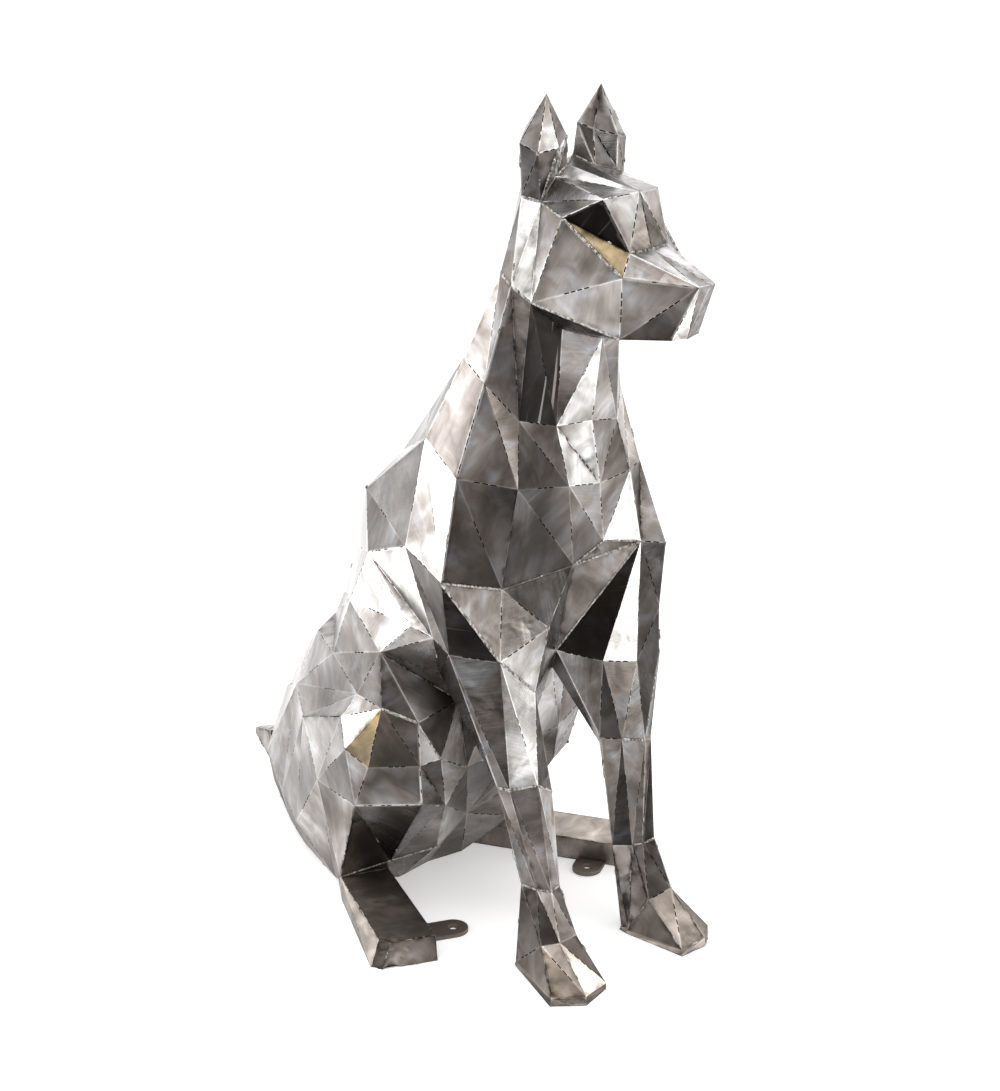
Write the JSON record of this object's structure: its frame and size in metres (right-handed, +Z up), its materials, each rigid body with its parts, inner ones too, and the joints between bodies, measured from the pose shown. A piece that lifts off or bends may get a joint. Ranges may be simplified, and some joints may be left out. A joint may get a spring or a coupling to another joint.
{
  "type": "seated dog sculpture",
  "caption": "Life-size seated dog with erect ears, a hollow shell welded from flat facets of ground sheet steel, with bolt-down lugs on its hind feet, for a garden, hall or gallery.",
  "frame": {"origin": "on the ground, in the middle of the sculpture's length and width", "axes": "+Z up; the dog faces -Y; its own left is +X and its own right is -X"},
  "size_m": [0.4586, 0.794, 1],
  "materials": {
    "ground_steel": "bare sheet steel, ground and brushed facet by facet, with heat tint, weld seams and laser-cut fold marks",
    "mill_scale_steel": "hot-rolled flat bar with dark brown mill scale, satin"
  },
  "bodies": {
    "root": {"dog_body": "ground_steel", "fixing_lug_right": "mill_scale_steel", "fixing_lug_left": "mill_scale_steel"}
  },
  "joints": []
}
